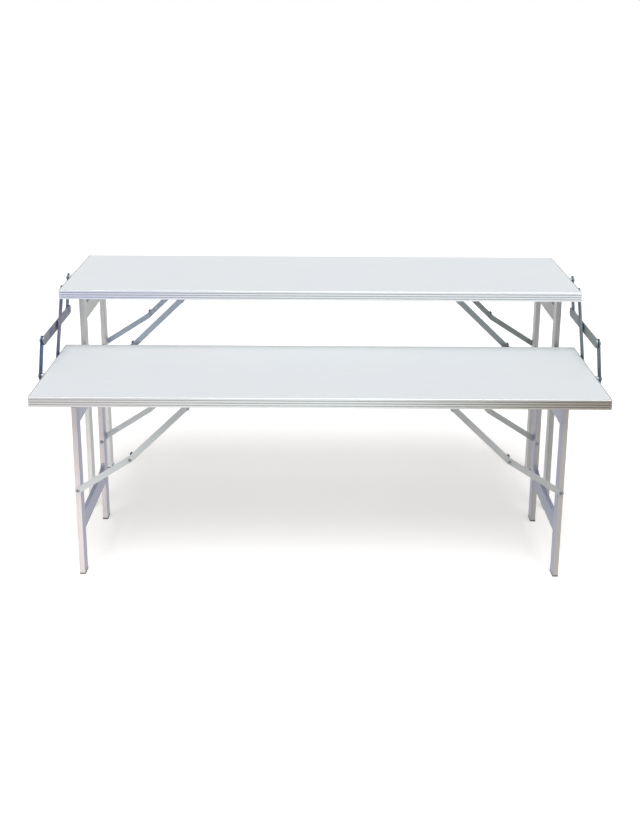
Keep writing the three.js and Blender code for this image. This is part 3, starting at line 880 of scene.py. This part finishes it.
def add_stop_buffer(tier, side, leg):
    """A dark sleeve round the stop that the upper link of a stay meets, its dark colour painted shade for
    the gap at the knee.
    """
    name = f"{tier}_{side}_{leg}"
    knee = knee_place(tier, side)
    along = joint_place(f"{tier}_{side}_upper_stay_turn") - knee
    along.y = 0.0
    along.normalize()
    normal = SIDES[side] * Vector((along.z, 0.0, -along.x))
    rise = STAY_WIDTH / 2 + STOP_GAP + BUFFER_HEIGHT / 2
    middle = knee + STOP_DISTANCE * along + rise * normal
    outline = rounded_rectangle(BUFFER_LENGTH / 2, BUFFER_HEIGHT / 2, BUFFER_CORNER)
    low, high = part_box(f"{name}_lower_stay")
    inner = low.y if LEGS[leg] > 0 else high.y
    outer = outer_y(f"{name}_upper_stay", leg) - LEGS[leg] * (RIVET_FLANGE - BUFFER_OVERHANG)
    rings = []
    for y in (inner, outer):
        ring = [middle + point.x * along + point.y * normal for point in outline]
        rings.append([Vector((point.x, y, point.z)) for point in ring])
    bm = bmesh.new()
    close_ends(bm, bridge(bm, rings))
    finish_piece(f"{name}_stop_buffer", bm, buffer_shade_finish, f"{tier}_{side}_lower_stays")


# Welds where the cross tubes meet the legs, and gussets above the lower tubes

def add_bead(bm, start, end):
    """A rippled weld bead along a line, tapered at both ends."""
    line = end - start
    count = round(line.length / BEAD_PITCH)
    profile = []
    for i in range(count + 1):
        radius = BEAD_RADIUS + BEAD_RIPPLE * (i % 2)
        if i in (0, count):
            radius = BEAD_END_RADIUS
        profile.append((radius, line.length * i / count))
    turned(bm, profile, facing(start, line.normalized()), steps=BEAD_SIDES)


def add_welds(tier, side, tube):
    low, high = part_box(f"{tier}_{side}_{tube}")
    bm = bmesh.new()
    for y in (low.y, high.y):
        for x in (low.x, high.x):
            add_bead(bm, Vector((x, y, low.z)), Vector((x, y, high.z)))
        for z in (low.z, high.z):
            add_bead(bm, Vector((low.x, y, z)), Vector((high.x, y, z)))
    finish_piece(f"{tier}_{side}_{tube}_welds", bm, weld_finish, f"{tier}_{side}_legs")


def add_gussets(tier, side):
    """A hollow-curved gusset at each end of a lower cross tube, as thick as the tube."""
    low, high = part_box(f"{tier}_{side}_stretcher")
    outline = [(0.0, 0.0), (GUSSET_REACH, 0.0)]
    for i in range(GUSSET_STEPS + 1):
        angle = math.pi / 2 * i / GUSSET_STEPS
        out = (GUSSET_REACH - GUSSET_FEATHER) * (1 - math.sin(angle)) + GUSSET_FEATHER
        up = (GUSSET_RISE - GUSSET_FEATHER) * (1 - math.cos(angle)) + GUSSET_FEATHER
        outline.append((out, up))
    outline.append((0.0, GUSSET_RISE))
    bm = bmesh.new()
    for leg in LEGS:
        face = inner_face(tier, side, leg)
        rings = []
        for x in (low.x, high.x):
            rings.append([Vector((x, face - LEGS[leg] * out, high.z + up)) for out, up in outline])
        close_ends(bm, bridge(bm, rings))
    metal = finishes[tier]["stretcher"]
    finish_piece(f"{tier}_{side}_gussets", bm, metal, f"{tier}_{side}_legs")


# Screws that hold the bearers to the boards

def add_screw(bm, place):
    """A pan head with a cross recess, looking down."""
    matrix = facing(place, (0, 0, -1))
    floor = SCREW_HEIGHT - SCREW_RECESS_DEPTH
    tapered = SCREW_RECESS_TAPER * SCREW_RECESS_LENGTH
    rings = [
        circle(SCREW_RADIUS, 0.0),
        circle(SCREW_RADIUS, SCREW_RIM_HEIGHT),
        circle((SCREW_RADIUS + SCREW_FLAT_RADIUS) / 2, SCREW_SHOULDER_HEIGHT),
        circle(SCREW_FLAT_RADIUS, SCREW_HEIGHT),
        cross_outline(SCREW_RECESS_LENGTH, SCREW_RECESS_WIDTH, SCREW_HEIGHT),
        cross_outline(tapered, SCREW_RECESS_TAPER * SCREW_RECESS_WIDTH, floor),
    ]
    close_ends(bm, bridge(bm, [[matrix @ point for point in ring] for ring in rings]))


def add_screws(tier, side, kind):
    low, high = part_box(f"{tier}_{side}_{kind}_bearer")
    middle = (low + high) / 2
    bm = bmesh.new()
    for offset in SCREW_OFFSETS:
        add_screw(bm, Vector((middle.x, middle.y + offset, high.z - BEARER_WALL)))
    name = f"{tier}_{side}_{kind}_bearer_screws"
    finish_piece(name, bm, bolt_finish, f"{tier}_table")


# Caps on the pins of the tie linkage

def add_tie_cap(name, place, side, body):
    bm = bmesh.new()
    add_dome(bm, place, (SIDES[side], 0, 0), TIE_CAP_RADIUS, TIE_CAP_HEIGHT)
    finish_piece(name, bm, cap_finish, body)


def add_tie_caps(side):
    bar_low, bar_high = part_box(f"tie_bar_{side}")
    half = (bar_high.z - bar_low.z) / 2
    bar_z = (bar_low.z + bar_high.z) / 2
    ends = {"front": ("front", bar_low.y + half), "rear": ("upper", bar_high.y - half)}
    for end, (tier, y) in ends.items():
        strap = f"{end}_strap_{side}"
        place = Vector((outer_x(strap, side), y, bar_z))
        add_tie_cap(f"{strap}_bar_cap", place, side, f"{end}_straps")
        pin = joint_place(f"{end}_strap_turn")
        place = Vector((outer_x(f"{tier}_{side}_rail", side), pin.y, pin.z))
        add_tie_cap(f"{strap}_rail_cap", place, side, f"{tier}_table")


# Camera, light and floor

def add_camera():
    data = bpy.data.cameras.new("camera")
    data.sensor_fit = "HORIZONTAL"
    data.sensor_width = SENSOR_WIDTH
    data.lens = FOCAL_PIXELS / IMAGE_WIDTH * SENSOR_WIDTH
    data.shift_y = -AXIS_ABOVE_MIDDLE_PIXELS / IMAGE_WIDTH
    camera = bpy.data.objects.new("camera", data)
    turn = Matrix.Rotation(CAMERA_YAW, 4, "Z")
    tilt = Matrix.Rotation(math.pi / 2 + CAMERA_PITCH, 4, "X")
    roll = Matrix.Rotation(CAMERA_ROLL, 4, "Z")
    camera.matrix_world = Matrix.Translation(CAMERA_PLACE) @ turn @ tilt @ roll
    bpy.context.scene.collection.objects.link(camera)
    bpy.context.scene.camera = camera


def any_ray(tree, *names):
    """1 for a ray of any of these kinds, else 0."""
    path = tree.nodes.new("ShaderNodeLightPath")
    total = path.outputs[names[0]]
    for name in names[1:]:
        total = maths(tree, "MAXIMUM", total, path.outputs[name])
    return total


def choose(tree, factor, first, second):
    """The first shader where the factor is 0, the second where it is 1."""
    mix = tree.nodes.new("ShaderNodeMixShader")
    tree.links.new(factor, mix.inputs["Fac"])
    for index, shader in zip(SHADER_MIX_INPUTS, (first, second)):
        tree.links.new(shader, mix.inputs[index])
    return mix.outputs["Shader"]


def add_world():
    world = bpy.data.worlds.new("studio")
    world.use_nodes = True
    bpy.context.scene.world = world
    tree = world.node_tree
    sky = tree.nodes["Background"]
    sky.inputs["Color"].default_value = (*SKY_TINT, 1.0)
    sky.inputs["Strength"].default_value = SKY_LEVEL
    white = tree.nodes.new("ShaderNodeBackground")
    white.inputs["Color"].default_value = (*WHITE, 1.0)
    white.inputs["Strength"].default_value = 1.0
    seen = any_ray(tree, "Is Camera Ray", "Is Glossy Ray", "Is Transmission Ray")
    shown = choose(tree, seen, sky.outputs["Background"], white.outputs["Background"])
    tree.links.new(shown, tree.nodes["World Output"].inputs["Surface"])


def floor_material():
    """A pale floor that gives plain light back, shows white and keeps a faint shadow."""
    material = bpy.data.materials.new("floor")
    material.use_nodes = True
    tree = material.node_tree
    tree.nodes.remove(tree.nodes["Principled BSDF"])

    def matt(level):
        shader = tree.nodes.new("ShaderNodeBsdfDiffuse")
        shader.inputs["Color"].default_value = (level, level, level, 1.0)
        return shader.outputs["BSDF"]

    def glow(colour, level):
        shader = tree.nodes.new("ShaderNodeEmission")
        shader.inputs["Color"].default_value = (*colour, 1.0)
        shader.inputs["Strength"].default_value = level
        return shader.outputs["Emission"]

    shadowed = tree.nodes.new("ShaderNodeAddShader")
    tree.links.new(glow(FLOOR_GLOW_TINT, FLOOR_GLOW), shadowed.inputs[0])
    tree.links.new(matt(FLOOR_SHADOW), shadowed.inputs[1])
    mirrored = any_ray(tree, "Is Glossy Ray", "Is Transmission Ray")
    lit = choose(tree, mirrored, matt(FLOOR_ALBEDO), glow(WHITE, 1.0))
    shown = choose(tree, any_ray(tree, "Is Camera Ray"), lit, shadowed.outputs["Shader"])
    tree.links.new(shown, tree.nodes["Material Output"].inputs["Surface"])
    return material


def add_floor():
    mesh = bpy.data.meshes.new("floor")
    half = FLOOR_HALF
    corners = [(-half, -half, 0), (half, -half, 0), (half, half, 0), (-half, half, 0)]
    mesh.from_pydata(corners, [], [(0, 1, 2, 3)])
    mesh.materials.append(floor_material())
    floor = bpy.data.objects.new("floor", mesh)
    bpy.context.scene.collection.objects.link(floor)


def add_lamp(data, matrix):
    lamp = bpy.data.objects.new(data.name, data)
    lamp.matrix_world = matrix
    bpy.context.scene.collection.objects.link(lamp)


def add_lamps():
    sun = bpy.data.lights.new("overhead", "SUN")
    sun.energy = SUN_STRENGTH
    sun.color = SUN_TINT
    sun.angle = SUN_ANGLE
    add_lamp(sun, Matrix.Rotation(SUN_FORWARD, 4, "X"))

    side = bpy.data.lights.new("side", "AREA")
    side.shape = "RECTANGLE"
    side.size, side.size_y = SIDE_LAMP_SIZE
    side.spread = SIDE_LAMP_SPREAD
    side.energy = SIDE_LAMP_POWER
    side.color = SIDE_LAMP_TINT
    aim = (SIDE_LAMP_TARGET - SIDE_LAMP_PLACE).to_track_quat("-Z", "Y")
    add_lamp(side, Matrix.Translation(SIDE_LAMP_PLACE) @ aim.to_matrix().to_4x4())


bpy.context.scene.view_settings.view_transform = "Standard"
add_camera()
add_world()
add_floor()
add_lamps()

for tier in TIERS:
    dress_table(tier)
    for side in SIDES:
        for kind in BEARERS:
            add_screws(tier, side, kind)
        for tube in CROSS_TUBES:
            add_welds(tier, side, tube)
        add_gussets(tier, side)
        for leg in LEGS:
            add_boot(tier, side, leg)
            add_stay_fasteners(tier, side, leg)
            add_stop_buffer(tier, side, leg)
for side in SIDES:
    dress_ties(side)
    add_tie_caps(side)
